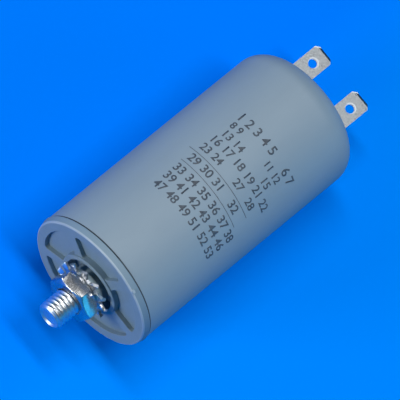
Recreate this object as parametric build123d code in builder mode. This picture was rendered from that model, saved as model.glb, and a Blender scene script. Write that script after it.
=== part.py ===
from build123d import *
from math import cos, radians, sin, sqrt, tan
import os

# Motor run capacitor in a round plastic can, lying on its side
# The can's axis is X: the stud points to -X and the two blade tabs to +X, lying flat in XY
# The origin is on the stud's axis, on the face of the lid's boss, where the lock washer sits
# All sizes are in millimetres and all angles in degrees
# Angles round the axis count from +Y towards +Z

# Case
case_diameter = 40.0
case_length = 77.6
case_wall = 1.8
case_end_radius = 6.5
case_mouth_radius = 0.3

# Fits
fit_clearance = 0.05
slot_clearance = 0.1

# Lid: flange, gate mark, rim, ribs and pockets
flange_height = 2.2
flange_inset = 0.3
flange_overhang = 0.3
flange_edge_radius = 0.4
flange_seam_radius = 0.25
gate_diameter = 1.1
gate_setback = 0.65
gate_stand = 0.2
gate_angle = 116.0
rim_width = 3.0
rib_count = 5
rib_width = 3.1
rib_angle = 111.0
pocket_depth = 1.3
pocket_corner_radius = 0.9
pocket_edge_radius = 0.2
plate_thickness = 3.0
spigot_length = 6.0
spigot_wall = 1.6

# Lid: hub ring, moat and boss round the stud
hub_diameter = 19.1
hub_stand = 0.5
hub_edge_radius = 0.3
hub_wall = 1.5
moat_depth = 3.4
boss_diameter = 11.0
boss_stand = 1.7
socket_wall = 1.6

# Stud
stud_diameter = 7.9
thread_pitch_diameter = 7.2
stud_reach = 12.8
stud_tip_chamfer = 0.7
head_width = 13.0
head_height = 4.0

# Lock washer
washer_thickness = 0.8
washer_bore = 8.4
washer_ring_diameter = 12.4
washer_diameter = 17.3
tooth_count = 12
tooth_angle = 9.0
tooth_root_width = 2.3
tooth_tip_width = 1.5
tooth_twist = 38.0
tooth_neck = 0.35

# Nut
nut_width = 13.0
nut_height = 5.0
nut_face_diameter = 12.2
nut_face_height = 0.5
nut_chamfer_angle = 30.0
nut_bore_chamfer = 0.5
nut_angle = 101.0

# Blade tabs
tab_width = 6.35
tab_thickness = 0.8
tab_reach = 14.1
tab_margin = 2.6
tab_hole_diameter = 2.5
tab_hole_from_tip = 4.8
tab_hole_chamfer = 0.2
tab_corner_cut = 1.1
tab_bevel_depth = 0.25
tab_bevel_length = 0.55
shoulder_width = 8.2
shoulder_height = 1.2
tail_width = 3.0
tail_length = 2.6
barrel_diameter = 2.7
barrel_length = 4.0
barrel_floor = 0.9

# Winding, sprayed ends, core, leads and resin
winding_clearance = 1.5
spray_thickness = 0.8
core_diameter = 6.0
core_bore = 3.0
tab_end_room = 14.0
cap_end_room = 4.0
lead_diameter = 1.6
lead_bend_radius = 2.0
lead_rise = 2.6
lead_solder_offset = 7.0
resin_gap = 0.6

# Stations along the axis, from the boss face
hub_x = boss_stand
rim_x = hub_x + hub_stand
floor_x = rim_x + pocket_depth
seam_x = rim_x + flange_height
plate_back_x = floor_x + plate_thickness
moat_floor_x = hub_x + moat_depth
spigot_end_x = seam_x + spigot_length
head_end_x = plate_back_x + head_height
case_end_x = seam_x + case_length
case_floor_x = case_end_x - case_wall
nut_back_x = -washer_thickness
nut_front_x = nut_back_x - nut_height
stud_tip_x = -stud_reach
tab_tip_x = case_end_x + tab_reach
barrel_end_x = case_floor_x - shoulder_height - tail_length
barrel_mouth_x = barrel_end_x - barrel_length
tab_spray_x = case_floor_x - tab_end_room
winding_end_x = tab_spray_x - spray_thickness
resin_start_x = max(spigot_end_x, head_end_x) + resin_gap
cap_spray_x = resin_start_x + cap_end_room
winding_start_x = cap_spray_x + spray_thickness

# Radii, and how far apart the tabs stand
case_radius = case_diameter / 2
case_inner_radius = case_radius - case_wall
flange_radius = case_radius - flange_inset
flange_back_radius = case_radius + flange_overhang
rim_inner_radius = flange_radius - rim_width
hub_radius = hub_diameter / 2
moat_radius = hub_radius - hub_wall
boss_radius = boss_diameter / 2
stud_radius = stud_diameter / 2
stud_hole_radius = stud_radius + fit_clearance
pitch_radius = thread_pitch_diameter / 2
nut_bore_radius = pitch_radius + fit_clearance
spigot_radius = case_inner_radius - fit_clearance
spigot_inner_radius = spigot_radius - spigot_wall
socket_radius = head_width / sqrt(3) + fit_clearance + socket_wall
washer_ring_radius = washer_ring_diameter / 2
nut_face_radius = nut_face_diameter / 2
nut_corner_radius = nut_width / sqrt(3)
lead_radius = lead_diameter / 2
barrel_radius = barrel_diameter / 2
winding_radius = case_inner_radius - winding_clearance
tab_spacing = 2 * (case_radius - case_end_radius - tab_margin) - tab_width

os.makedirs("parts", exist_ok=True)


def across(x):
    """The plane square to the can's axis at station x, with +Y to its right and +Z up."""
    return Plane.YZ.offset(x)


def at_station(x, geom_type):
    """A test for edges of one kind that lie square to the axis at station x."""
    return lambda edge: edge.geom_type == geom_type and abs(edge.center().X - x) < 1e-4


def between(inner, outer):
    """A test for edges whose middle lies outside one radius and no further out than another."""
    return lambda edge: inner + 1e-3 < sqrt(edge.center().Y ** 2 + edge.center().Z ** 2) < outer + 1e-3


def finish(part, name):
    """Name a piece and write it."""
    part.label = name
    export_step(part, f"parts/{name}.step")


# Case: a cup of even wall with a rounded closed end, slotted for the tabs
with BuildPart() as case:
    with BuildSketch(across(seam_x)):
        Circle(case_radius)
    extrude(amount=case_length)
    fillet(case.edges().sort_by(Axis.X)[-1], case_end_radius)
    offset(amount=-case_wall, openings=case.faces().sort_by(Axis.X)[0])
    with BuildSketch(across(case_floor_x)):
        with GridLocations(tab_spacing, 0, 2, 1):
            Rectangle(tab_width + 2 * slot_clearance, tab_thickness + 2 * slot_clearance)
    extrude(amount=case_wall, mode=Mode.SUBTRACT)
    mouth = case.edges().filter_by(at_station(seam_x, GeomType.CIRCLE))
    fillet(mouth.sort_by(SortBy.RADIUS)[-1], case_mouth_radius)
finish(case.part, "case")

# Lid: a turned section, a hexagon socket at its back, pockets between ribs, and the hub ring
with BuildPart() as end_cap:
    with BuildSketch(Plane.XY):
        with BuildLine():
            Polyline(
                (0, stud_hole_radius),
                (0, boss_radius),
                (moat_floor_x, boss_radius),
                (moat_floor_x, moat_radius),
                (rim_x, moat_radius),
                (rim_x, flange_radius),
                (seam_x, flange_back_radius),
                (seam_x, spigot_radius),
                (spigot_end_x, spigot_radius),
                (spigot_end_x, spigot_inner_radius),
                (plate_back_x, spigot_inner_radius),
                (plate_back_x, socket_radius),
                (head_end_x, socket_radius),
                (head_end_x, stud_hole_radius),
                close=True,
            )
        make_face()
    revolve(axis=Axis.X)
    with BuildSketch(across(plate_back_x)):
        RegularPolygon(head_width / 2 + fit_clearance, 6, major_radius=False)
    extrude(amount=head_height, mode=Mode.SUBTRACT)
    with BuildSketch(across(rim_x)) as pockets:
        Circle(rim_inner_radius)
        Circle(hub_radius, mode=Mode.SUBTRACT)
        with PolarLocations((hub_radius + rim_inner_radius) / 2, rib_count, rib_angle):
            Rectangle(2 * (rim_inner_radius - hub_radius), rib_width, mode=Mode.SUBTRACT)
        fillet(pockets.vertices(), pocket_corner_radius)
    extrude(amount=pocket_depth, mode=Mode.SUBTRACT)
    face_edges = end_cap.edges().filter_by_position(Axis.X, rim_x, rim_x)
    fillet(face_edges.filter_by(between(moat_radius, rim_inner_radius)), pocket_edge_radius)
    flange_edges = end_cap.edges().filter_by(GeomType.CIRCLE).sort_by(SortBy.RADIUS)[-2:]
    fillet(flange_edges.sort_by(Axis.X)[0], flange_edge_radius)
    fillet(flange_edges.sort_by(Axis.X)[-1], flange_seam_radius)
    with BuildSketch(across(hub_x)):
        Circle(hub_radius)
        Circle(moat_radius, mode=Mode.SUBTRACT)
    extrude(amount=floor_x - hub_x)
    fillet(end_cap.edges().filter_by(at_station(hub_x, GeomType.CIRCLE)), hub_edge_radius)
    gate_radial = Vector(0, cos(radians(gate_angle)), sin(radians(gate_angle)))
    gate_foot = Vector(rim_x + gate_setback, 0, 0) + gate_radial * (flange_radius - gate_diameter)
    with BuildSketch(Plane(gate_foot, (1, 0, 0), gate_radial)):
        Circle(gate_diameter / 2)
    extrude(amount=gate_diameter + flange_inset + gate_stand)
finish(end_cap.part, "end_cap")

# Stud: hexagon head in the lid's socket, plain shank, a stretch inside the nut, and the free end
with BuildPart() as mounting_stud:
    with BuildSketch(across(plate_back_x)):
        RegularPolygon(head_width / 2, 6, major_radius=False)
    extrude(amount=head_height)
    with BuildSketch(Plane.XY):
        with BuildLine():
            Polyline(
                (plate_back_x, 0),
                (plate_back_x, stud_radius),
                (0, stud_radius),
                (0, pitch_radius),
                (nut_front_x, pitch_radius),
                (nut_front_x, stud_radius),
                (stud_tip_x + stud_tip_chamfer, stud_radius),
                (stud_tip_x, stud_radius - stud_tip_chamfer),
                (stud_tip_x, 0),
                close=True,
            )
        make_face()
    revolve(axis=Axis.X)
finish(mounting_stud.part, "mounting_stud")

# Lock washer: a flat ring with short flat necks, each drawn out into a tooth twisted about its radius
neck_radius = washer_ring_radius + tooth_neck
with BuildPart() as lock_washer:
    with BuildSketch(across(-washer_thickness)):
        Circle(washer_ring_radius)
        with PolarLocations(0, tooth_count, tooth_angle):
            Rectangle(neck_radius, tooth_root_width, align=(Align.MIN, Align.CENTER))
        Circle(washer_bore / 2, mode=Mode.SUBTRACT)
    extrude(amount=washer_thickness)
    for tooth in range(tooth_count):
        angle = radians(tooth_angle + 360 / tooth_count * tooth)
        radial = Vector(0, cos(angle), sin(angle))
        tangent = Vector(0, -sin(angle), cos(angle))
        middle = Vector(-washer_thickness / 2, 0, 0)
        with BuildSketch(Plane(middle + radial * neck_radius, tangent, radial)):
            Rectangle(tooth_root_width, washer_thickness)
        with BuildSketch(Plane(middle + radial * washer_diameter / 2, tangent, radial)):
            Rectangle(tooth_tip_width, washer_thickness, rotation=tooth_twist)
        loft()
finish(lock_washer.part, "lock_washer")

# Nut: a hexagon turned down to cones at both ends, on a round bearing face
chamfer_run = (nut_corner_radius - nut_face_radius) * tan(radians(nut_chamfer_angle))
with BuildPart() as hex_nut:
    with BuildSketch(across(nut_front_x)):
        RegularPolygon(nut_width / 2, 6, major_radius=False, rotation=nut_angle)
    extrude(amount=nut_height)
    with BuildSketch(Plane.XY):
        with BuildLine():
            Polyline(
                (nut_front_x, 0),
                (nut_front_x, nut_face_radius),
                (nut_front_x + chamfer_run, nut_corner_radius),
                (nut_back_x - nut_face_height - chamfer_run, nut_corner_radius),
                (nut_back_x - nut_face_height, nut_face_radius),
                (nut_back_x, nut_face_radius),
                (nut_back_x, 0),
                close=True,
            )
        make_face()
    revolve(axis=Axis.X, mode=Mode.INTERSECT)
    with BuildSketch(across(nut_front_x)):
        Circle(nut_bore_radius)
    extrude(amount=nut_height, mode=Mode.SUBTRACT)
    bore_edges = hex_nut.edges().filter_by(GeomType.CIRCLE).sort_by(SortBy.RADIUS)[:2]
    chamfer(bore_edges, nut_bore_chamfer)
finish(hex_nut.part, "hex_nut")

# Blade tabs: stamped strip with a pierced blade outside, shoulders and a crimped tail inside
tabs = {}
for side, name in ((1, "terminal_left"), (-1, "terminal_right")):
    tab_y = side * tab_spacing / 2
    with BuildPart() as tab:
        with BuildSketch(Plane.XY):
            with Locations(((case_floor_x + tab_tip_x) / 2, tab_y)):
                Rectangle(tab_tip_x - case_floor_x, tab_width)
            with Locations((case_floor_x - shoulder_height / 2, tab_y)):
                Rectangle(shoulder_height, shoulder_width)
            with Locations(((barrel_end_x + case_floor_x - shoulder_height) / 2, tab_y)):
                Rectangle(tail_length, tail_width)
        extrude(amount=tab_thickness / 2, both=True)
        tip_face = tab.faces().sort_by(Axis.X)[-1]
        chamfer(tip_face.edges().filter_by(Axis.Z), tab_corner_cut)
        tip_face = tab.faces().sort_by(Axis.X)[-1]
        chamfer(tip_face.edges().filter_by(Axis.Y), tab_bevel_depth, tab_bevel_length, reference=tip_face)
        with BuildSketch(Plane.XY):
            with Locations((tab_tip_x - tab_hole_from_tip, tab_y)):
                Circle(tab_hole_diameter / 2)
        extrude(amount=tab_thickness, both=True, mode=Mode.SUBTRACT)
        chamfer(tab.edges().filter_by(GeomType.CIRCLE), tab_hole_chamfer)
        with BuildSketch(across(barrel_mouth_x)):
            with Locations((tab_y, 0)):
                Circle(barrel_radius)
        extrude(amount=barrel_length)
        with BuildSketch(across(barrel_mouth_x)):
            with Locations((tab_y, 0)):
                Circle(lead_radius + fit_clearance)
        extrude(amount=barrel_length - barrel_floor, mode=Mode.SUBTRACT)
    finish(tab.part, name)
    tabs[name] = tab.part

# Winding: the roll of film, with the core's place left open
with BuildPart() as film_winding:
    with BuildSketch(across(winding_start_x)):
        Circle(winding_radius)
        Circle(core_diameter / 2, mode=Mode.SUBTRACT)
    extrude(amount=winding_end_x - winding_start_x)
finish(film_winding.part, "film_winding")

# Sprayed metal on the two ends of the roll
for spray_x, name in ((winding_end_x, "tab_end_spray"), (cap_spray_x, "cap_end_spray")):
    with BuildPart() as spray:
        with BuildSketch(across(spray_x)):
            Circle(winding_radius)
            Circle(core_diameter / 2, mode=Mode.SUBTRACT)
        extrude(amount=spray_thickness)
    finish(spray.part, name)

# Core: the tube that the film is wound on, flush with the sprayed ends
with BuildPart() as winding_core:
    with BuildSketch(across(cap_spray_x)):
        Circle(core_diameter / 2)
        Circle(core_bore / 2, mode=Mode.SUBTRACT)
    extrude(amount=tab_spray_x - cap_spray_x)
finish(winding_core.part, "winding_core")

# Short lead: straight from the near sprayed end into the left tab's barrel
lead_end_x = barrel_end_x - barrel_floor
with BuildPart() as short_lead:
    with BuildSketch(across(tab_spray_x)):
        with Locations((tab_spacing / 2, 0)):
            Circle(lead_radius)
    extrude(amount=lead_end_x - tab_spray_x)
finish(short_lead.part, "short_lead")

# Long lead: off the far sprayed end, back through the core and over to the right tab's barrel
with BuildPart() as long_lead:
    with BuildLine():
        route = FilletPolyline(
            (cap_spray_x, lead_solder_offset, 0),
            (cap_spray_x - lead_rise, lead_solder_offset, 0),
            (cap_spray_x - lead_rise, 0, 0),
            (tab_spray_x + lead_rise, 0, 0),
            (tab_spray_x + lead_rise, -tab_spacing / 2, 0),
            (lead_end_x, -tab_spacing / 2, 0),
            radius=lead_bend_radius,
        )
    with BuildSketch(across(cap_spray_x)):
        with Locations((lead_solder_offset, 0)):
            Circle(lead_radius)
    sweep(path=route)
finish(long_lead.part, "long_lead")

# Resin: fills the cup round the winding and over the tails, up to a level short of the lid
with BuildPart() as potting_resin:
    with BuildSketch(across(resin_start_x)):
        Circle(case_inner_radius)
    extrude(amount=case_floor_x - resin_start_x)
    fillet(potting_resin.edges().sort_by(Axis.X)[-1], case_end_radius - case_wall)
    with BuildSketch(across(cap_spray_x)):
        Circle(winding_radius)
    extrude(amount=tab_spray_x - cap_spray_x, mode=Mode.SUBTRACT)
    with BuildSketch(across(barrel_mouth_x)):
        with GridLocations(tab_spacing, 0, 2, 1):
            Circle(barrel_radius)
    extrude(amount=barrel_length, mode=Mode.SUBTRACT)
    add(tabs.values(), mode=Mode.SUBTRACT)
    add([short_lead.part, long_lead.part], mode=Mode.SUBTRACT)
finish(potting_resin.part, "potting_resin")
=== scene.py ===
import math

import bpy
from mathutils import Matrix, Vector


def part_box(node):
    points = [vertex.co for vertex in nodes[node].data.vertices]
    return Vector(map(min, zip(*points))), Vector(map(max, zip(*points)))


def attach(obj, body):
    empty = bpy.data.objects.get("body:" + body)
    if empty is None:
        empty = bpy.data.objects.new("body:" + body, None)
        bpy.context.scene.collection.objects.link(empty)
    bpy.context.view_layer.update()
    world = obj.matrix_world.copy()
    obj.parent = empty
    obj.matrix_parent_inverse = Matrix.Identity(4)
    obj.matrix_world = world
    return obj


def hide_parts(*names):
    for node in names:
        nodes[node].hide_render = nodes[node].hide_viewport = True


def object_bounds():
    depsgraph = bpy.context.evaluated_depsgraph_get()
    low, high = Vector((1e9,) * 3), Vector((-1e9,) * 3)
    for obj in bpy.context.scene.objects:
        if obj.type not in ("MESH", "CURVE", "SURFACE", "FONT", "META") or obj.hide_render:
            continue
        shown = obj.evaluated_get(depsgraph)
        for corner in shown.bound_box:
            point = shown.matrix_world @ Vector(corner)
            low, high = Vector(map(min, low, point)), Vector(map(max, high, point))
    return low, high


# A motor run capacitor: a grey plastic can with a ribbed lid, a plated stud and two tinned tabs
# Lengths are in metres and angles in degrees
# The print's rows and rules and the camera's sensor are in millimetres

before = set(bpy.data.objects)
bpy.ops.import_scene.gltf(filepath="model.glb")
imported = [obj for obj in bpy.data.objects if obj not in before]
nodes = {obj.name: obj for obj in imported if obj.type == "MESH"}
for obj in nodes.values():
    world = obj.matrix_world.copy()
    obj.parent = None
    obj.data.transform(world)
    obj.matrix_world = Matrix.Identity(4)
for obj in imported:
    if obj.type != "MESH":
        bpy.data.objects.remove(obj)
cad_low, cad_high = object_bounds()

# Values that several pieces share
MM = 0.001
MERGE_REACH = 1e-7
SMOOTH_ANGLE = 28.0
TURN_STEPS = 96
HEXAGON_SIDES = 6

# Places read from the frame
CASE_LOW, CASE_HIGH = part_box("case")
STUD_LOW, STUD_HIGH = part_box("mounting_stud")
NUT_LOW, NUT_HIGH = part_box("hex_nut")
TAB_LOW, TAB_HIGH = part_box("terminal_left")
CASE_RADIUS = CASE_HIGH.z
SEAM_X = CASE_LOW.x
STUD_TIP_X = STUD_LOW.x
STUD_BACK_X = STUD_HIGH.x
NUT_FRONT_X = NUT_LOW.x
NUT_BACK_X = NUT_HIGH.x
TAB_TIP_X = TAB_HIGH.x
TAB_MIDDLE_Y = (TAB_LOW.y + TAB_HIGH.y) / 2

# Stud: the thread's shape is given as (share of the pitch, share of the depth), from root to root
THREAD_PITCH = 1.25 * MM
THREAD_CREST_RADIUS = 3.95 * MM
THREAD_DEPTH = 0.74 * MM
THREAD_SHAPE = (
    (0.0, 0.0), (0.12, 0.06), (0.2, 0.2), (0.42, 0.82), (0.49, 0.95),
    (0.55, 1.0), (0.61, 0.95), (0.68, 0.82), (0.9, 0.2), (1.0, 0.0),
)
THREAD_SPARE_TURNS = 2
THREAD_START_DEPTH = 0.2 * MM
TIP_FACE_RADIUS = 3.25 * MM
TIP_CHAMFER_REACH = 1.0 * MM
TIP_CUP_RIM = 0.55 * MM
TIP_CUP_DEPTH = 0.45 * MM
NUT_STRETCH_RADIUS = 3.6 * MM
SHANK_RADIUS = 3.95 * MM
SHANK_FRONT_X = 0.0
HEAD_FLATS = 13.0 * MM
HEAD_HEIGHT = 4.0 * MM
HEAD_EDGE_BEVEL = 0.3 * MM
HEAD_EDGE_SEGMENTS = 2
HEAD_EDGE_ANGLE = 30.0

# Nut
NUT_FLATS = 13.0 * MM
NUT_TURN = 41.0
NUT_FACE_RADIUS = 6.1 * MM
NUT_FACE_HEIGHT = 0.5 * MM
NUT_CHAMFER = 30.0
NUT_BORE_RADIUS = 3.65 * MM
NUT_BORE_CHAMFER = 0.5 * MM
NUT_EDGE_BEVEL = 0.2 * MM
NUT_EDGE_SEGMENTS = 3
NUT_EDGE_ANGLE = 35.0
TURNED_SPARE = 0.2 * MM

# Print rows of plain counting numbers, as (middle from the seam, height, ((start across, text), ...))
PRINT_ROWS = (
    (53.4, 2.7, ((-9.8, "1 2 3 4 5"), (9.2, "6 7"))),
    (50.0, 2.1, ((-9.2, "8 9"), (4.4, "11 12"))),
    (46.7, 2.3, ((-9.0, "13 14"), (7.4, "15"))),
    (43.4, 2.4, ((-10.0, "16 17 18 19 21 22"),)),
    (39.8, 2.3, ((-10.0, "23 24"), (3.0, "27"), (9.2, "28"))),
    (35.2, 2.5, ((-9.8, "29 30 31"), (6.6, "32"))),
    (30.4, 2.5, ((-10.4, "33 34 35 36 37 38"),)),
    (26.8, 2.5, ((-10.4, "39 41 42 43 44 46"),)),
    (23.1, 2.5, ((-10.4, "47 48 49 51 52 53"),)),
)

# Print rules, as (middle from the seam, start across, end across)
PRINT_RULES = ((37.2, -11.9, 13.6), (32.8, -10.6, 13.4))

# Print sizes
PRINT_RULE_WIDTH = 0.16 * MM
PRINT_CAP_SHARE = 0.69
PRINT_CURVE_STEPS = 6
PRINT_WEIGHT = 0.05 * MM
PRINT_FACET = 0.5 * MM
PRINT_STAND = 0.03 * MM
PRINT_THICKNESS = 0.02 * MM

# Noise in the finishes: each detail is (detail, roughness), and the skin's blotches are drawn out along X
SKIN_STRETCH = (0.35, 1.0, 1.0)
PLATE_STRETCH = (1.0, 1.0, 1.0)
BLOTCH_DETAIL = (4.0, 0.6)
GRAIN_DETAIL = (3.0, 0.55)
BLOTCH_EDGE = (0.38, 0.66)
NOISE_SPAN = (0.3, 0.7)
BLOTCH_LEAN = 0.6

# Marks in the finishes: a painted shadow in the seam, a darker matt side and a painted highlight on the
# flange's front edge, and a painted shade band at the tabs' tips with painted highlights round their holes
# and at one corner
MARK_FADE = 0.1 * MM
# Painted shadow: a dark band on the can's mouth where the lid's overhang shades the seam
SEAM_SHADE_REACH = 0.34 * MM
SEAM_SHADE_TONE = (0.06, 0.075, 0.09)
SEAM_SHADE_ROUGHNESS = 0.8
FLANGE_SIDE_TONE = (0.19, 0.278, 0.352)
FLANGE_SIDE_ROUGHNESS = 0.62
LID_EDGE_X = 2.2 * MM
LID_EDGE_RADIUS = 19.7 * MM
# Painted highlight: a lighter band along the lid flange's rounded front edge
LID_EDGE_HIGHLIGHT_REACH = 0.3 * MM
LID_EDGE_HIGHLIGHT_TONE = (0.36, 0.44, 0.51)
LID_EDGE_HIGHLIGHT_ROUGHNESS = 0.38
TAB_WIDTH = 6.35 * MM
# Painted shade: a dark band at each tab's tip, where its bevel faces away from the light
TAB_TIP_SHADE_BAND = 0.6 * MM
TAB_TIP_SHADE_TONE = (0.16, 0.18, 0.19)
TAB_TIP_SHADE_ROUGHNESS = 0.4
TAB_HOLE_FROM_TIP = 4.8 * MM
# Painted highlights: bright, non-metal patches round each tab's hole and at one corner of its tip
TAB_HOLE_HIGHLIGHT_RADIUS = 1.5 * MM
TAB_HOLE_HIGHLIGHT_SHIFT = 0.22 * MM
TAB_CORNER_HIGHLIGHT_REACH = 1.55 * MM
TAB_HIGHLIGHT_TONE = (0.92, 0.92, 0.9)
TAB_HIGHLIGHT_ROUGHNESS = 0.6

# Camera: the can's axis leans back from the picture by the tilt and runs up to the right by the roll
VIEW_TILT = 23.58
VIEW_ROLL = 39.3
VIEW_DISTANCE = 3.0
VIEW_WIDTH = 104.7 * MM
VIEW_TARGET = Vector((41.5 * MM, -1.3 * MM, 0.0))
VIEW_REACH = 20.0
SENSOR_WIDTH = 36.0

# Floor: it is paler on the can's right side, and it throws back less light than its colour shows
FLOOR_SIZE = 8.0
FLOOR_DROP = 0.02 * MM
FLOOR_BLUE = (0.0, 0.2, 0.98)
FLOOR_PALE_BLUE = (0.0, 0.25, 1.0)
FLOOR_BLEND = 15.0 * MM
FLOOR_GLOW = 0.08
FLOOR_BOUNCE = 0.64
FLOOR_ROUGHNESS = 0.8

# Lamps, as (name, direction from the can, depth, width along Y, power, colour)
LAMP_DISTANCE = 0.9
LAMP_WHITE = (1.0, 1.0, 1.0)
LAMP_BLUE = (0.06, 0.56, 1.0)
LAMPS = (
    ("key", (0.03, 0.07, 0.99), 0.1, 0.8, 6.4, LAMP_WHITE),
    ("front", (-0.82, 0.4, 0.24), 0.16, 0.3, 3.8, LAMP_WHITE),
    ("bounce", (0.4, -0.88, 0.3), 0.5, 0.8, 1.8, LAMP_BLUE),
)

# Room: its strength falls from the first value to the second between two heights of the sky
ROOM_BLUE = (0.02, 0.48, 1.0)
ROOM_HEIGHTS = (0.12, 0.4)
ROOM_STRENGTHS = (0.7, 0.03)


def start_fresh():
    """Deselect everything, so that the next operators act on a new piece alone."""
    if bpy.context.object and bpy.context.object.mode != "OBJECT":
        bpy.ops.object.mode_set(mode="OBJECT")
    bpy.ops.object.select_all(action="DESELECT")


def pick(*pieces):
    """Select these pieces alone and make the first one active."""
    start_fresh()
    for piece in pieces:
        piece.select_set(True)
    bpy.context.view_layer.objects.active = pieces[0]


def open_whole(piece):
    """Open a piece in edit mode with all of it selected."""
    pick(piece)
    bpy.ops.object.mode_set(mode="EDIT")
    bpy.ops.mesh.select_all(action="SELECT")


def open_station(piece, kind, x):
    """Open a piece in edit mode with only its corners, or only its faces, at one station selected."""
    pick(piece)
    bpy.ops.object.mode_set(mode="EDIT")
    bpy.ops.mesh.select_mode(type=kind)
    bpy.ops.mesh.select_all(action="DESELECT")
    bpy.ops.object.mode_set(mode="OBJECT")
    if kind == "VERT":
        for vertex in piece.data.vertices:
            vertex.select = abs(vertex.co.x - x) < MERGE_REACH
    else:
        for face in piece.data.polygons:
            face.select = abs(face.center.x - x) < MERGE_REACH
    bpy.ops.object.mode_set(mode="EDIT")


def close_edit():
    """Go back from edit mode to object mode."""
    bpy.ops.object.mode_set(mode="OBJECT")


def apply_modifiers(piece):
    """Apply all of a piece's modifiers, in order."""
    pick(piece)
    for modifier in list(piece.modifiers):
        bpy.ops.object.modifier_apply(modifier=modifier.name)


def settle(piece):
    """Put a piece's place, turn and scale into its mesh."""
    pick(piece)
    bpy.ops.object.transform_apply(location=True, rotation=True, scale=True)


def merge_and_face_out(piece):
    """Merge a piece's doubles and turn its faces outwards."""
    open_whole(piece)
    bpy.ops.mesh.remove_doubles(threshold=MERGE_REACH)
    bpy.ops.mesh.normals_make_consistent(inside=False)
    close_edit()


def smooth(piece):
    """Shade a piece smooth, apart from its sharp edges."""
    pick(piece)
    bpy.ops.object.shade_smooth_by_angle(angle=math.radians(SMOOTH_ANGLE))


def trace_line(name, points):
    """An open line of edges: a plane merged to one corner, then extruded from point to point."""
    start_fresh()
    bpy.ops.mesh.primitive_plane_add(size=MM, location=points[0])
    line = bpy.context.active_object
    line.name = name
    settle(line)
    open_whole(line)
    bpy.ops.mesh.merge(type="CENTER")
    for here, there in zip(points, points[1:]):
        step = Vector(there) - Vector(here)
        bpy.ops.mesh.extrude_vertices_move(TRANSFORM_OT_translate={"value": step})
    close_edit()
    return line


def wind(line, advance, turns):
    """Wind a line about X: into a turned solid, or a thread where each turn advances."""
    screw = line.modifiers.new("turns", "SCREW")
    screw.axis = "X"
    screw.angle = math.radians(360)
    screw.screw_offset = advance
    screw.iterations = turns
    screw.steps = TURN_STEPS
    screw.render_steps = TURN_STEPS
    screw.use_merge_vertices = True
    screw.merge_threshold = MERGE_REACH
    apply_modifiers(line)
    merge_and_face_out(line)


def turn_profile(name, points):
    """A solid of revolution about X, from a line of (x, radius) points with its ends on the axis."""
    solid = trace_line(name, [(x, 0, radius) for x, radius in points])
    wind(solid, advance=0, turns=1)
    return solid


def add_rod(name, radius, low_x, high_x, sides):
    """A closed rod along X between two stations."""
    start_fresh()
    bpy.ops.mesh.primitive_cylinder_add(
        vertices=sides,
        radius=radius,
        depth=high_x - low_x,
        location=((low_x + high_x) / 2, 0, 0),
        rotation=(0, math.radians(90), 0),
    )
    rod = bpy.context.active_object
    rod.name = name
    settle(rod)
    return rod


def carve(piece, operation, tool):
    """Cut a piece with another one, which is used up."""
    cut = piece.modifiers.new("cut", "BOOLEAN")
    cut.operation = operation
    cut.object = tool
    cut.solver = "EXACT"
    apply_modifiers(piece)
    bpy.data.objects.remove(tool)


def cut_across(piece, x, keep_low):
    """Cut a piece square to X, close the cut and drop one side."""
    open_whole(piece)
    bpy.ops.mesh.bisect(
        plane_co=(x, 0, 0),
        plane_no=(1, 0, 0),
        use_fill=True,
        clear_outer=keep_low,
        clear_inner=not keep_low,
    )
    close_edit()


def round_edges(piece, width, segments, least_angle, clamp):
    """Round the edges of a piece that turn by more than an angle."""
    bevel = piece.modifiers.new("edges", "BEVEL")
    bevel.width = width
    bevel.segments = segments
    bevel.limit_method = "ANGLE"
    bevel.angle_limit = math.radians(least_angle)
    bevel.use_clamp_overlap = clamp
    apply_modifiers(piece)


def wind_thread(end_x):
    """The thread: its shape wound about X from before the tip, and cut square at both ends."""
    root_radius = THREAD_CREST_RADIUS - THREAD_DEPTH
    start_x = STUD_TIP_X - THREAD_SPARE_TURNS * THREAD_PITCH
    profile = [
        (start_x + along * THREAD_PITCH, 0, root_radius + height * THREAD_DEPTH)
        for along, height in THREAD_SHAPE
    ]
    thread = trace_line("threaded_stud", profile)
    turns = math.ceil((end_x - start_x) / THREAD_PITCH) + THREAD_SPARE_TURNS
    wind(thread, advance=THREAD_PITCH, turns=turns)
    cut_across(thread, STUD_TIP_X - THREAD_PITCH / 2, keep_low=False)
    cut_across(thread, end_x, keep_low=True)
    merge_and_face_out(thread)
    return thread


def model_tip_blank():
    """The stud's coned and cupped end, as a rod that the thread is cut down to."""
    radius = TIP_FACE_RADIUS + TIP_CHAMFER_REACH
    blank = add_rod("tip_blank", radius, STUD_TIP_X, STUD_BACK_X, TURN_STEPS)
    open_station(blank, "VERT", STUD_TIP_X)
    bpy.ops.mesh.bevel(offset=TIP_CHAMFER_REACH, segments=1, affect="EDGES")
    close_edit()
    open_station(blank, "FACE", STUD_TIP_X)
    bpy.ops.mesh.inset(thickness=TIP_CUP_RIM)
    bpy.ops.transform.translate(value=(TIP_CUP_DEPTH, 0, 0))
    bpy.ops.mesh.select_mode(type="VERT")
    close_edit()
    return blank


def model_stud():
    """The stud: the thread with its tip, the stretch inside the nut, the shank and the head."""
    thread_end_x = NUT_FRONT_X + THREAD_START_DEPTH
    head_front_x = STUD_BACK_X - HEAD_HEIGHT
    stud = wind_thread(thread_end_x)
    carve(stud, "INTERSECT", model_tip_blank())
    inside = add_rod("stud_inside", NUT_STRETCH_RADIUS, thread_end_x, SHANK_FRONT_X, TURN_STEPS)
    shank = add_rod("stud_shank", SHANK_RADIUS, SHANK_FRONT_X, head_front_x, TURN_STEPS)
    head_corner = HEAD_FLATS / math.sqrt(3)
    head = add_rod("stud_head", head_corner, head_front_x, STUD_BACK_X, HEXAGON_SIDES)
    round_edges(head, HEAD_EDGE_BEVEL, HEAD_EDGE_SEGMENTS, HEAD_EDGE_ANGLE, clamp=True)
    pick(stud, inside, shank, head)
    bpy.ops.object.join()
    smooth(stud)
    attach(stud, "root")
    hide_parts("mounting_stud")
    return stud


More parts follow.
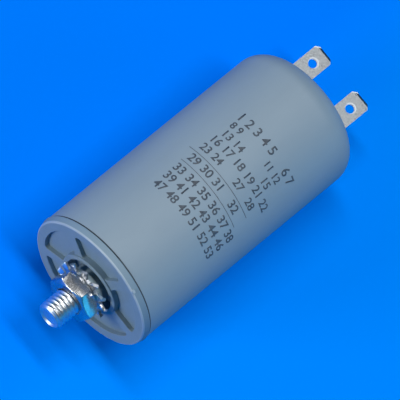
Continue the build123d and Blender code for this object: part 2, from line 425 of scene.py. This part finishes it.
def model_nut():
    """The nut: a hexagon turned down at both ends, bored, with its edges rounded."""
    corner = NUT_FLATS / math.sqrt(3)
    wide = corner + TURNED_SPARE
    run = (wide - NUT_FACE_RADIUS) * math.tan(math.radians(NUT_CHAMFER))
    back_step_x = NUT_BACK_X - NUT_FACE_HEIGHT
    turned = turn_profile("nut_turned", [
        (NUT_FRONT_X, 0),
        (NUT_FRONT_X, NUT_FACE_RADIUS),
        (NUT_FRONT_X + run, wide),
        (back_step_x - run, wide),
        (back_step_x, NUT_FACE_RADIUS),
        (NUT_BACK_X, NUT_FACE_RADIUS),
        (NUT_BACK_X, 0),
    ])
    wide_bore = NUT_BORE_RADIUS + NUT_BORE_CHAMFER + TURNED_SPARE
    bore = turn_profile("nut_bore", [
        (NUT_FRONT_X - TURNED_SPARE, 0),
        (NUT_FRONT_X - TURNED_SPARE, wide_bore),
        (NUT_FRONT_X + NUT_BORE_CHAMFER, NUT_BORE_RADIUS),
        (NUT_BACK_X - NUT_BORE_CHAMFER, NUT_BORE_RADIUS),
        (NUT_BACK_X + TURNED_SPARE, wide_bore),
        (NUT_BACK_X + TURNED_SPARE, 0),
    ])
    nut = add_rod("nut", corner, NUT_FRONT_X - TURNED_SPARE, NUT_BACK_X + TURNED_SPARE, HEXAGON_SIDES)
    carve(nut, "INTERSECT", turned)
    carve(nut, "DIFFERENCE", bore)
    round_edges(nut, NUT_EDGE_BEVEL, NUT_EDGE_SEGMENTS, NUT_EDGE_ANGLE, clamp=False)
    nut.rotation_euler = (math.radians(NUT_TURN), 0, 0)
    settle(nut)
    smooth(nut)
    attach(nut, "root")
    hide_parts("hex_nut")
    return nut


def print_text(text, start, middle, height):
    """One run of numbers, flat on XY with its start and middle in place, as a mesh."""
    start_fresh()
    bpy.ops.object.text_add(location=(0, 0, 0))
    run = bpy.context.active_object
    run.data.body = text
    run.data.size = height / PRINT_CAP_SHARE
    run.data.resolution_u = PRINT_CURVE_STEPS
    run.data.offset = PRINT_WEIGHT
    bpy.ops.object.convert(target="MESH")
    run = bpy.context.active_object
    run.location = (start, middle - height / 2, 0)
    settle(run)
    return run


def print_rule(low, high, middle):
    """One thin rule, flat on XY, as a mesh."""
    start_fresh()
    bpy.ops.mesh.primitive_plane_add(size=1, location=((low + high) / 2, middle, 0))
    rule = bpy.context.active_object
    rule.scale = (high - low, PRINT_RULE_WIDTH, 1)
    settle(rule)
    return rule


def model_print():
    """The print: numbers and rules laid out flat, cut into narrow strips, then wrapped on the can."""
    runs = []
    for middle, height, texts in PRINT_ROWS:
        for start, text in texts:
            runs.append(print_text(text, start * MM, middle * MM, height * MM))
    for middle, low, high in PRINT_RULES:
        runs.append(print_rule(low * MM, high * MM, middle * MM))
    pick(*runs)
    bpy.ops.object.join()
    marks = bpy.context.active_object
    marks.name = "print_marks"
    flat = [vertex.co.x for vertex in marks.data.vertices]
    bpy.ops.object.mode_set(mode="EDIT")
    strip = min(flat) + PRINT_FACET
    while strip < max(flat):
        bpy.ops.mesh.select_all(action="SELECT")
        bpy.ops.mesh.bisect(plane_co=(strip, 0, 0), plane_no=(1, 0, 0))
        strip += PRINT_FACET
    close_edit()
    radius = CASE_RADIUS + PRINT_STAND
    for vertex in marks.data.vertices:
        turn = vertex.co.x / CASE_RADIUS
        vertex.co = (SEAM_X + vertex.co.y, -radius * math.sin(turn), radius * math.cos(turn))
    merge_and_face_out(marks)
    film = marks.modifiers.new("ink film", "SOLIDIFY")
    film.thickness = PRINT_THICKNESS
    film.offset = -1
    apply_modifiers(marks)
    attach(marks, "root")
    return marks


def noise(tree, coordinate, scale, detail):
    """A noise texture on a coordinate, with its scale from a socket and a detail and roughness."""
    node = tree.nodes.new("ShaderNodeTexNoise")
    node.inputs["Detail"].default_value, node.inputs["Roughness"].default_value = detail
    tree.links.new(coordinate, node.inputs["Vector"])
    tree.links.new(scale, node.inputs["Scale"])
    return node.outputs["Fac"]


def remap(tree, value, low, high, to_low=0.0, to_high=1.0):
    """Stretch a span of a value to another span."""
    node = tree.nodes.new("ShaderNodeMapRange")
    node.inputs["From Min"].default_value = low
    node.inputs["From Max"].default_value = high
    node.inputs["To Min"].default_value = to_low
    node.inputs["To Max"].default_value = to_high
    tree.links.new(value, node.inputs["Value"])
    return node.outputs["Result"]


def mix_colour(tree, share, first, second):
    """Mix two colours by a share, each a socket or a plain colour."""
    node = tree.nodes.new("ShaderNodeMix")
    node.data_type = "RGBA"
    tree.links.new(share, node.inputs["Factor"])
    for colour, socket in ((first, node.inputs["A"]), (second, node.inputs["B"])):
        if isinstance(colour, tuple):
            socket.default_value = (*colour, 1)
        else:
            tree.links.new(colour, socket)
    return node.outputs["Result"]


def combine(tree, operation, first, second=0.0):
    """One step of arithmetic on two values, each a socket or a number."""
    node = tree.nodes.new("ShaderNodeMath")
    node.operation = operation
    for value, socket in ((first, node.inputs[0]), (second, node.inputs[1])):
        if isinstance(value, (int, float)):
            socket.default_value = value
        else:
            tree.links.new(value, socket)
    return node.outputs["Value"]


def surface_group(name, stretch):
    """A surface with broad blotches and a fine grain: colour, roughness and height that vary over it."""
    group = bpy.data.node_groups.new(name, "ShaderNodeTree")
    for title, direction, kind in (
        ("Tone", "INPUT", "NodeSocketColor"),
        ("Blotch Tone", "INPUT", "NodeSocketColor"),
        ("Blotch Scale", "INPUT", "NodeSocketFloat"),
        ("Grain Scale", "INPUT", "NodeSocketFloat"),
        ("Roughness", "INPUT", "NodeSocketFloat"),
        ("Roughness Spread", "INPUT", "NodeSocketFloat"),
        ("Color", "OUTPUT", "NodeSocketColor"),
        ("Roughness", "OUTPUT", "NodeSocketFloat"),
        ("Height", "OUTPUT", "NodeSocketFloat"),
    ):
        group.interface.new_socket(name=title, in_out=direction, socket_type=kind)
    given = group.nodes.new("NodeGroupInput").outputs
    place = group.nodes.new("ShaderNodeTexCoord").outputs["Object"]
    mapping = group.nodes.new("ShaderNodeMapping")
    mapping.inputs["Scale"].default_value = stretch
    group.links.new(place, mapping.inputs["Vector"])
    blotch = noise(group, mapping.outputs["Vector"], given["Blotch Scale"], BLOTCH_DETAIL)
    grain = noise(group, place, given["Grain Scale"], GRAIN_DETAIL)
    colour = mix_colour(group, remap(group, blotch, *BLOTCH_EDGE), given["Tone"], given["Blotch Tone"])
    grain_swing = remap(group, grain, *NOISE_SPAN, -1.0, 1.0)
    blotch_swing = remap(group, blotch, *NOISE_SPAN, -BLOTCH_LEAN, BLOTCH_LEAN)
    swing = combine(group, "MULTIPLY", grain_swing, given["Roughness Spread"])
    lean = combine(group, "MULTIPLY", blotch_swing, given["Roughness Spread"])
    rough = combine(group, "ADD", given["Roughness"], combine(group, "ADD", swing, lean))
    result = group.nodes.new("NodeGroupOutput").inputs
    group.links.new(colour, result["Color"])
    group.links.new(rough, result["Roughness"])
    group.links.new(grain, result["Height"])
    return group


def finish_material(name, group, metallic, bump, **values):
    """A material on a surface group with its own values, and a bump given as (strength, distance)."""
    material = bpy.data.materials.new(name)
    material.use_nodes = True
    tree = material.node_tree
    shader = tree.nodes["Principled BSDF"]
    shader.inputs["Metallic"].default_value = metallic
    surface = tree.nodes.new("ShaderNodeGroup")
    surface.node_tree = group
    for key, value in values.items():
        socket = surface.inputs[key.replace("_", " ").title()]
        socket.default_value = (*value, 1) if isinstance(value, tuple) else value
    relief = tree.nodes.new("ShaderNodeBump")
    relief.inputs["Strength"].default_value, relief.inputs["Distance"].default_value = bump
    tree.links.new(surface.outputs["Color"], shader.inputs["Base Color"])
    tree.links.new(surface.outputs["Roughness"], shader.inputs["Roughness"])
    tree.links.new(surface.outputs["Height"], relief.inputs["Height"])
    tree.links.new(relief.outputs["Normal"], shader.inputs["Normal"])
    return material


def surface_place(material):
    """The X, Y and Z of a material's Object coordinates."""
    tree = material.node_tree
    parts = tree.nodes.new("ShaderNodeSeparateXYZ")
    tree.links.new(tree.nodes.new("ShaderNodeTexCoord").outputs["Object"], parts.inputs["Vector"])
    return parts.outputs["X"], parts.outputs["Y"], parts.outputs["Z"]


def radius_of(tree, first, second):
    """The length of a vector of two parts."""
    squares = [combine(tree, "MULTIPLY", part, part) for part in (first, second)]
    return combine(tree, "POWER", combine(tree, "ADD", *squares), 0.5)


def within(tree, value, reach):
    """A share that is 1 where a value is under a reach and fades to 0 just past it."""
    return remap(tree, value, reach, reach + MARK_FADE, 1.0, 0.0)


def overlay(material, share, colour, roughness):
    """Lay a colour and a roughness over a material by a share."""
    tree = material.node_tree
    shader = tree.nodes["Principled BSDF"]
    old_colour = shader.inputs["Base Color"].links[0].from_socket
    old_rough = shader.inputs["Roughness"].links[0].from_socket
    tree.links.new(mix_colour(tree, share, old_colour, colour), shader.inputs["Base Color"])
    rest = combine(tree, "MULTIPLY", old_rough, combine(tree, "SUBTRACT", 1.0, share))
    rough = combine(tree, "ADD", rest, combine(tree, "MULTIPLY", share, roughness))
    tree.links.new(rough, shader.inputs["Roughness"])


def paint_seam_shade(material):
    """A painted shadow: a dark line on the can's mouth, beside the lid, where the lid's overhang shades it.
    """
    x, _, _ = surface_place(material)
    seam_shade = within(material.node_tree, x, SEAM_X + SEAM_SHADE_REACH)
    overlay(material, seam_shade, SEAM_SHADE_TONE, SEAM_SHADE_ROUGHNESS)


def mark_flange_side_and_highlight(material):
    """A darker, matt side on the lid's flange, and a painted highlight: a lighter band along its front
    edge.
    """
    tree = material.node_tree
    x, y, z = surface_place(material)
    inward = combine(tree, "SUBTRACT", LID_EDGE_RADIUS, radius_of(tree, y, z))
    overlay(material, within(tree, inward, 0.0), FLANGE_SIDE_TONE, FLANGE_SIDE_ROUGHNESS)
    corner = combine(tree, "ADD", combine(tree, "SUBTRACT", x, LID_EDGE_X), inward)
    overlay(material, within(tree, corner, LID_EDGE_HIGHLIGHT_REACH), LID_EDGE_HIGHLIGHT_TONE, LID_EDGE_HIGHLIGHT_ROUGHNESS)


def mark_tab_shade_and_highlights(material):
    """Painted highlights, bright non-metal patches round a tab's hole and at one corner, and painted shade,
    a dark band at its tip.
    """
    tree = material.node_tree
    x, y, _ = surface_place(material)
    from_tip = combine(tree, "SUBTRACT", TAB_TIP_X, x)
    overlay(material, within(tree, from_tip, TAB_TIP_SHADE_BAND), TAB_TIP_SHADE_TONE, TAB_TIP_SHADE_ROUGHNESS)
    ahead = combine(tree, "SUBTRACT", from_tip, TAB_HOLE_FROM_TIP - TAB_HOLE_HIGHLIGHT_SHIFT)
    middle = combine(tree, "MULTIPLY", combine(tree, "SIGN", y), TAB_MIDDLE_Y)
    aside = combine(tree, "SUBTRACT", y, middle)
    hole_highlight = within(tree, radius_of(tree, ahead, aside), TAB_HOLE_HIGHLIGHT_RADIUS)
    to_corner = combine(tree, "ADD", from_tip, combine(tree, "SUBTRACT", TAB_WIDTH / 2, aside))
    painted_highlight = combine(tree, "MAXIMUM", hole_highlight, within(tree, to_corner, TAB_CORNER_HIGHLIGHT_REACH))
    overlay(material, painted_highlight, TAB_HIGHLIGHT_TONE, TAB_HIGHLIGHT_ROUGHNESS)
    metallic = tree.nodes["Principled BSDF"].inputs["Metallic"]
    tree.links.new(combine(tree, "SUBTRACT", 1.0, painted_highlight), metallic)


def dress(piece, material):
    """Give a piece one material."""
    piece.data.materials.clear()
    piece.data.materials.append(material)


def dress_pieces(stud, nut, marks):
    """Make the finishes and give each piece its own."""
    skin = surface_group("moulded skin", SKIN_STRETCH)
    plate = surface_group("plated metal", PLATE_STRETCH)
    can_plastic = finish_material(
        "can_plastic", skin, 0.0, (0.25, 0.03 * MM),
        tone=(0.262, 0.342, 0.412), blotch_tone=(0.248, 0.326, 0.396), blotch_scale=90.0,
        grain_scale=3600.0, roughness=0.6, roughness_spread=0.05,
    )
    lid_plastic = finish_material(
        "lid_plastic", skin, 0.0, (0.2, 0.03 * MM),
        tone=(0.245, 0.335, 0.38), blotch_tone=(0.23, 0.315, 0.36), blotch_scale=140.0,
        grain_scale=3000.0, roughness=0.5, roughness_spread=0.05,
    )
    stud_zinc = finish_material(
        "stud_zinc", plate, 1.0, (0.15, 0.01 * MM),
        tone=(0.68, 0.7, 0.72), blotch_tone=(0.56, 0.58, 0.6), blotch_scale=500.0,
        grain_scale=5200.0, roughness=0.36, roughness_spread=0.06,
    )
    nut_zinc = finish_material(
        "nut_zinc", plate, 1.0, (0.12, 0.01 * MM),
        tone=(0.53, 0.54, 0.55), blotch_tone=(0.44, 0.45, 0.46), blotch_scale=420.0,
        grain_scale=4600.0, roughness=0.26, roughness_spread=0.04,
    )
    washer_zinc = finish_material(
        "washer_zinc", plate, 1.0, (0.12, 0.01 * MM),
        tone=(0.82, 0.83, 0.83), blotch_tone=(0.7, 0.71, 0.72), blotch_scale=600.0,
        grain_scale=5200.0, roughness=0.3, roughness_spread=0.05,
    )
    tab_tin = finish_material(
        "tab_tin", plate, 1.0, (0.35, 0.02 * MM),
        tone=(0.78, 0.81, 0.83), blotch_tone=(0.56, 0.6, 0.62), blotch_scale=900.0,
        grain_scale=2600.0, roughness=0.36, roughness_spread=0.07,
    )
    winding_film = finish_material(
        "winding_film", plate, 0.6, (0.1, 0.02 * MM),
        tone=(0.72, 0.74, 0.77), blotch_tone=(0.6, 0.62, 0.66), blotch_scale=160.0,
        grain_scale=2400.0, roughness=0.32, roughness_spread=0.06,
    )
    sprayed_zinc = finish_material(
        "sprayed_zinc", plate, 0.8, (0.6, 0.06 * MM),
        tone=(0.42, 0.43, 0.44), blotch_tone=(0.3, 0.31, 0.32), blotch_scale=500.0,
        grain_scale=3000.0, roughness=0.72, roughness_spread=0.12,
    )
    lead_copper = finish_material(
        "lead_copper", plate, 1.0, (0.1, 0.01 * MM),
        tone=(0.72, 0.42, 0.27), blotch_tone=(0.55, 0.3, 0.2), blotch_scale=300.0,
        grain_scale=4000.0, roughness=0.34, roughness_spread=0.08,
    )
    core_plastic = finish_material(
        "core_plastic", skin, 0.0, (0.1, 0.02 * MM),
        tone=(0.76, 0.74, 0.68), blotch_tone=(0.7, 0.68, 0.62), blotch_scale=200.0,
        grain_scale=2600.0, roughness=0.45, roughness_spread=0.05,
    )
    potting_resin = finish_material(
        "potting_resin", skin, 0.0, (0.2, 0.05 * MM),
        tone=(0.05, 0.05, 0.055), blotch_tone=(0.035, 0.035, 0.04), blotch_scale=120.0,
        grain_scale=1500.0, roughness=0.3, roughness_spread=0.08,
    )
    print_ink = finish_material(
        "print_ink", skin, 0.0, (0.1, 0.005 * MM),
        tone=(0.05, 0.065, 0.085), blotch_tone=(0.085, 0.105, 0.13), blotch_scale=700.0,
        grain_scale=5200.0, roughness=0.55, roughness_spread=0.06,
    )
    paint_seam_shade(can_plastic)
    mark_flange_side_and_highlight(lid_plastic)
    mark_tab_shade_and_highlights(tab_tin)
    finishes = {
        "case": can_plastic,
        "end_cap": lid_plastic,
        "hex_nut": nut_zinc,
        "lock_washer": washer_zinc,
        "mounting_stud": stud_zinc,
        "terminal_left": tab_tin,
        "terminal_right": tab_tin,
        "film_winding": winding_film,
        "tab_end_spray": sprayed_zinc,
        "cap_end_spray": sprayed_zinc,
        "short_lead": lead_copper,
        "long_lead": lead_copper,
        "winding_core": core_plastic,
        "potting_resin": potting_resin,
    }
    for name, material in finishes.items():
        dress(nodes[name], material)
    dress(stud, stud_zinc)
    dress(nut, nut_zinc)
    dress(marks, print_ink)


def floor_paint():
    """Blue paint that glows a little for the eye and for mirrors, so that the floor keeps its colour."""
    paint = bpy.data.materials.new("floor_paint")
    paint.use_nodes = True
    tree = paint.node_tree
    shader = tree.nodes["Principled BSDF"]
    shader.inputs["Roughness"].default_value = FLOOR_ROUGHNESS
    shader.inputs["Specular IOR Level"].default_value = 0.0
    ray = tree.nodes.new("ShaderNodeLightPath").outputs
    seen = combine(tree, "MAXIMUM", ray["Is Camera Ray"], ray["Is Glossy Ray"])
    seen = combine(tree, "MAXIMUM", seen, ray["Is Transmission Ray"])
    _, y, _ = surface_place(paint)
    blue = mix_colour(tree, remap(tree, y, -FLOOR_BLEND, FLOOR_BLEND), FLOOR_PALE_BLUE, FLOOR_BLUE)
    shade = tree.nodes.new("ShaderNodeVectorMath")
    shade.operation = "SCALE"
    tree.links.new(blue, shade.inputs["Vector"])
    tree.links.new(remap(tree, seen, 0.0, 1.0, FLOOR_BOUNCE, 1.0), shade.inputs["Scale"])
    tree.links.new(shade.outputs["Vector"], shader.inputs["Base Color"])
    tree.links.new(blue, shader.inputs["Emission Color"])
    tree.links.new(combine(tree, "MULTIPLY", seen, FLOOR_GLOW), shader.inputs["Emission Strength"])
    return paint


def lay_floor():
    """A plain blue floor under the can."""
    start_fresh()
    bpy.ops.mesh.primitive_plane_add(size=FLOOR_SIZE, location=(0, 0, cad_low[2] - FLOOR_DROP))
    floor = bpy.context.active_object
    floor.name = "floor"
    dress(floor, floor_paint())


def hang_lamp(name, direction, depth, width, power, colour):
    """A soft lamp that faces the object from a direction, with its width along Y."""
    data = bpy.data.lights.new(name, "AREA")
    data.shape = "RECTANGLE"
    data.size = depth
    data.size_y = width
    data.energy = power
    data.color = colour
    lamp = bpy.data.objects.new(name, data)
    bpy.context.scene.collection.objects.link(lamp)
    towards = Vector(direction).normalized()
    first = Vector((0, 1, 0)).cross(towards).normalized()
    turn = Matrix((first, towards.cross(first), towards)).transposed().to_4x4()
    lamp.matrix_world = Matrix.Translation(VIEW_TARGET + towards * LAMP_DISTANCE) @ turn


def light_stage():
    """Soft studio light: a wide key overhead, a weaker lamp in front of the lid and a blue bounce."""
    for lamp in LAMPS:
        hang_lamp(*lamp)


def paint_room():
    """A dim room that is blue round the horizon and dark overhead."""
    world = bpy.data.worlds.new("room")
    world.use_nodes = True
    tree = world.node_tree
    height = tree.nodes.new("ShaderNodeSeparateXYZ")
    tree.links.new(tree.nodes.new("ShaderNodeTexCoord").outputs["Generated"], height.inputs["Vector"])
    strength = remap(tree, height.outputs["Z"], *ROOM_HEIGHTS, *ROOM_STRENGTHS)
    room = tree.nodes["Background"]
    room.inputs["Color"].default_value = (*ROOM_BLUE, 1)
    tree.links.new(strength, room.inputs["Strength"])
    bpy.context.scene.world = world


def set_camera():
    """The camera at the picture's viewing angle, with a long lens."""
    tilt, roll = math.radians(VIEW_TILT), math.radians(VIEW_ROLL)
    to_camera = Vector((-math.sin(tilt), 0, math.cos(tilt)))
    along = Vector((math.cos(tilt), 0, math.sin(tilt)))
    across = Vector((0, -1, 0))
    right = along * math.cos(roll) + across * math.sin(roll)
    up = along * math.sin(roll) - across * math.cos(roll)
    data = bpy.data.cameras.new("camera")
    data.sensor_width = SENSOR_WIDTH
    data.lens = SENSOR_WIDTH * VIEW_DISTANCE / VIEW_WIDTH
    data.clip_end = VIEW_REACH
    camera = bpy.data.objects.new("camera", data)
    bpy.context.scene.collection.objects.link(camera)
    turn = Matrix((right, up, to_camera)).transposed().to_4x4()
    camera.matrix_world = Matrix.Translation(VIEW_TARGET + to_camera * VIEW_DISTANCE) @ turn
    bpy.context.scene.camera = camera


bpy.context.scene.view_settings.view_transform = "Standard"
start_fresh()
dress_pieces(model_stud(), model_nut(), model_print())
lay_floor()
light_stage()
paint_room()
set_camera()
